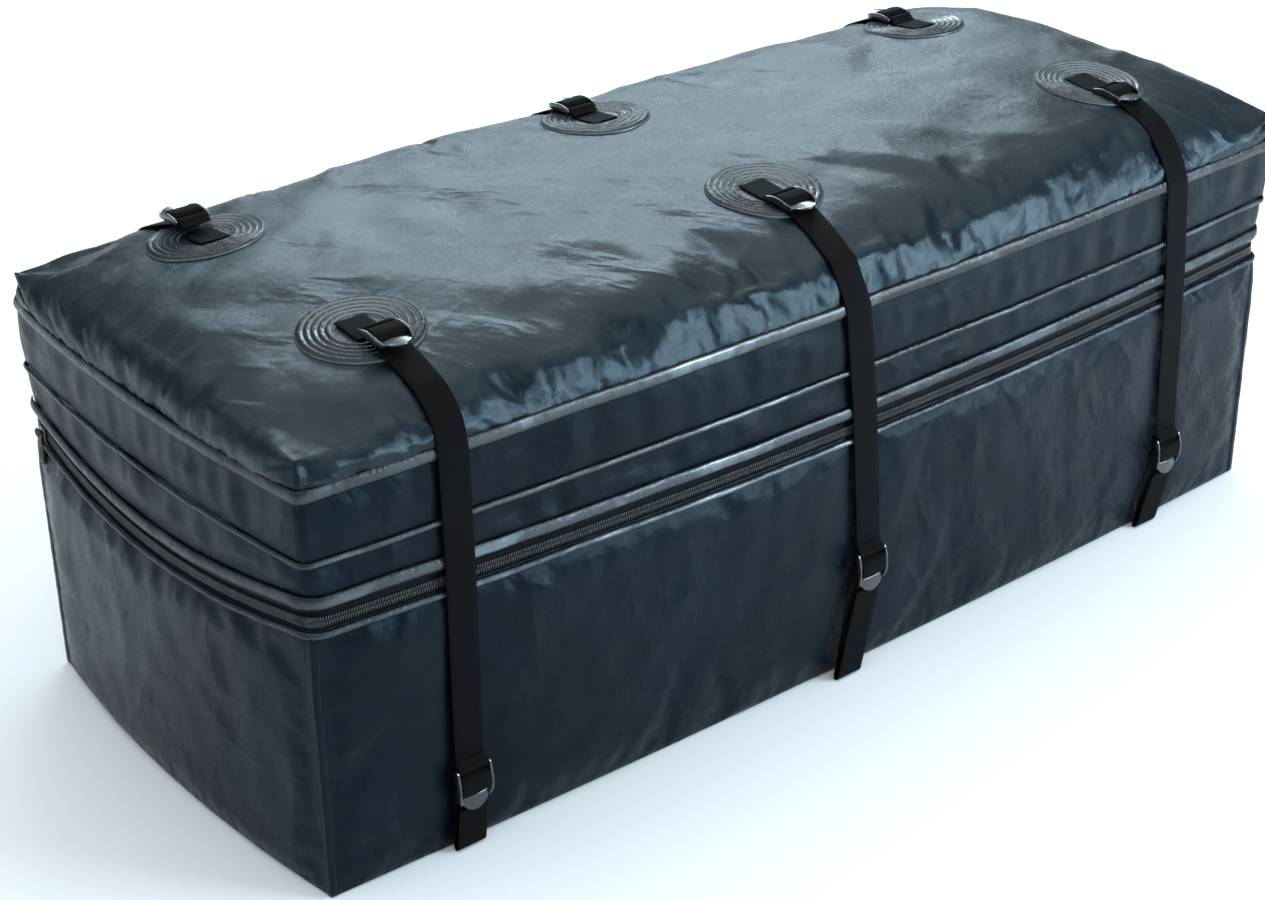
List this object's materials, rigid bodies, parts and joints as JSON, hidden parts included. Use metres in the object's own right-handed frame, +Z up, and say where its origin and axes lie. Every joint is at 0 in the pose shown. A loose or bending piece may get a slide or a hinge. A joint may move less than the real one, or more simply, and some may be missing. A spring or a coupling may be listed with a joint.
{
  "type": "hitch tray cargo bag",
  "caption": "Soft weatherproof cargo bag for a hitch tray, with a zip-round hinged lid, stitched patches, and webbing straps with ladder locks and rail loops.",
  "frame": {"origin": "on the ground at the middle of the base, half way between the corners of the front and back long edges", "axes": "+Z up, +X along the bag's length, front long face with the straps towards -Y, lid hinge along the back long edge at +Y"},
  "size_m": [1.549, 0.6714, 0.5941],
  "materials": {
    "side_fabric": "semi-gloss coated weatherproof fabric, slate",
    "top_fabric": "semi-gloss coated weatherproof fabric, steel blue-grey where it faces the light",
    "welded_tape": "glossy heat-welded seam tape and piping",
    "zipper_tape": "fine black woven tape",
    "zipper_coil": "black nylon coil",
    "webbing": "black woven polyester webbing",
    "lock_plastic": "glossy black moulded plastic",
    "slider_metal": "black enamelled zinc",
    "pull_rubber": "matt moulded rubber"
  },
  "bodies": {
    "tub": {"tub_floor_panel": "side_fabric", "tub_front_panel": "side_fabric", "tub_back_panel": "side_fabric", "tub_left_panel": "side_fabric", "tub_right_panel": "side_fabric", "tub_corner_bindings": "side_fabric", "tub_top_welt": "welded_tape", "back_hinge_piping": "welded_tape", "zipper_tape_lower": "zipper_tape", "zipper_coil_lower": "zipper_coil", "front_left_loop": "webbing", "front_middle_loop": "webbing", "front_right_loop": "webbing", "back_left_loop": "webbing", "back_middle_loop": "webbing", "back_right_loop": "webbing"},
    "lid": {"lid_top_panel": "top_fabric", "shoulder_band": "top_fabric", "top_seam_tape": "welded_tape", "upper_front_band": "side_fabric", "upper_back_band": "side_fabric", "upper_left_band": "side_fabric", "upper_right_band": "side_fabric", "mid_welt": "welded_tape", "gusset_band": "side_fabric", "back_hinge_band": "side_fabric", "rain_flap": "welded_tape", "zipper_tape_upper": "zipper_tape", "zipper_coil_upper": "zipper_coil", "strap_patches": "top_fabric", "strap_tabs": "webbing", "front_left_strap": "webbing", "front_middle_strap": "webbing", "front_right_strap": "webbing", "back_left_strap": "webbing", "back_middle_strap": "webbing", "back_right_strap": "webbing"},
    "left_slider": {"left_zip_slider": "slider_metal", "left_slider_rear": "slider_metal"},
    "left_pull": {"left_zip_pull": "pull_rubber"},
    "right_slider": {"right_zip_slider": "slider_metal", "right_slider_rear": "slider_metal"},
    "right_pull": {"right_zip_pull": "pull_rubber"},
    "front_left_top_lock": {"front_left_top_lock": "lock_plastic"},
    "front_left_low_lock": {"front_left_low_lock": "lock_plastic"},
    "front_middle_top_lock": {"front_middle_top_lock": "lock_plastic"},
    "front_middle_low_lock": {"front_middle_low_lock": "lock_plastic"},
    "front_right_top_lock": {"front_right_top_lock": "lock_plastic"},
    "front_right_low_lock": {"front_right_low_lock": "lock_plastic"},
    "back_left_top_lock": {"back_left_top_lock": "lock_plastic"},
    "back_left_low_lock": {"back_left_low_lock": "lock_plastic"},
    "back_middle_top_lock": {"back_middle_top_lock": "lock_plastic"},
    "back_middle_low_lock": {"back_middle_low_lock": "lock_plastic"},
    "back_right_top_lock": {"back_right_top_lock": "lock_plastic"},
    "back_right_low_lock": {"back_right_low_lock": "lock_plastic"}
  },
  "joints": [
    {"name": "lid_hinge", "type": "hinge", "parent": "tub", "child": "lid", "pos_m": [0, 0.3035, 0.34], "axis": [-1, 0, 0], "range_deg": [0, 105]},
    {"name": "left_slider_run", "type": "hinge", "parent": "tub", "child": "left_slider", "pos_m": [0.01824, 0, 1.21318], "axis": [-0.7507, 0, 0.6606], "range_deg": [0, 25.36]},
    {"name": "left_pull_swing", "type": "hinge", "parent": "left_slider", "child": "left_pull", "pos_m": [-0.75869, 0.2631, 0.33894], "axis": [0.145, 0.9756, 0.1648], "range_deg": [0, 150]},
    {"name": "right_slider_run", "type": "hinge", "parent": "tub", "child": "right_slider", "pos_m": [-0.01824, 0, 1.21318], "axis": [-0.7507, 0, -0.6606], "range_deg": [0, 25.36]},
    {"name": "right_pull_swing", "type": "hinge", "parent": "right_slider", "child": "right_pull", "pos_m": [0.75869, 0.2631, 0.33894], "axis": [0.145, -0.9756, -0.1648], "range_deg": [0, 150]},
    {"name": "front_left_top_tilt", "type": "hinge", "parent": "lid", "child": "front_left_top_lock", "pos_m": [-0.574, -0.19, 0.5825], "axis": [-1, 0, 0], "range_deg": [0, 25]},
    {"name": "front_left_low_tilt", "type": "hinge", "parent": "tub", "child": "front_left_low_lock", "pos_m": [-0.574, -0.32546, 0.103], "axis": [-1, 0, 0], "range_deg": [0, 25]},
    {"name": "front_middle_top_tilt", "type": "hinge", "parent": "lid", "child": "front_middle_top_lock", "pos_m": [-0.014, -0.19, 0.5825], "axis": [-1, 0, 0], "range_deg": [0, 25]},
    {"name": "front_middle_low_tilt", "type": "hinge", "parent": "tub", "child": "front_middle_low_lock", "pos_m": [-0.014, -0.34299, 0.166], "axis": [-1, 0, 0], "range_deg": [0, 25]},
    {"name": "front_right_top_tilt", "type": "hinge", "parent": "lid", "child": "front_right_top_lock", "pos_m": [0.546, -0.19, 0.5825], "axis": [-1, 0, 0], "range_deg": [0, 25]},
    {"name": "front_right_low_tilt", "type": "hinge", "parent": "tub", "child": "front_right_low_lock", "pos_m": [0.546, -0.32713, 0.123], "axis": [-1, 0, 0], "range_deg": [0, 25]},
    {"name": "back_left_top_tilt", "type": "hinge", "parent": "lid", "child": "back_left_top_lock", "pos_m": [-0.574, 0.19, 0.5825], "axis": [1, 0, 0], "range_deg": [0, 25]},
    {"name": "back_left_low_tilt", "type": "hinge", "parent": "tub", "child": "back_left_low_lock", "pos_m": [-0.574, 0.315, 0.116], "axis": [1, 0, 0], "range_deg": [0, 25]},
    {"name": "back_middle_top_tilt", "type": "hinge", "parent": "lid", "child": "back_middle_top_lock", "pos_m": [-0.014, 0.19, 0.5825], "axis": [1, 0, 0], "range_deg": [0, 25]},
    {"name": "back_middle_low_tilt", "type": "hinge", "parent": "tub", "child": "back_middle_low_lock", "pos_m": [-0.014, 0.315, 0.116], "axis": [1, 0, 0], "range_deg": [0, 25]},
    {"name": "back_right_top_tilt", "type": "hinge", "parent": "lid", "child": "back_right_top_lock", "pos_m": [0.546, 0.19, 0.5825], "axis": [1, 0, 0], "range_deg": [0, 25]},
    {"name": "back_right_low_tilt", "type": "hinge", "parent": "tub", "child": "back_right_low_lock", "pos_m": [0.546, 0.315, 0.116], "axis": [1, 0, 0], "range_deg": [0, 25]}
  ]
}
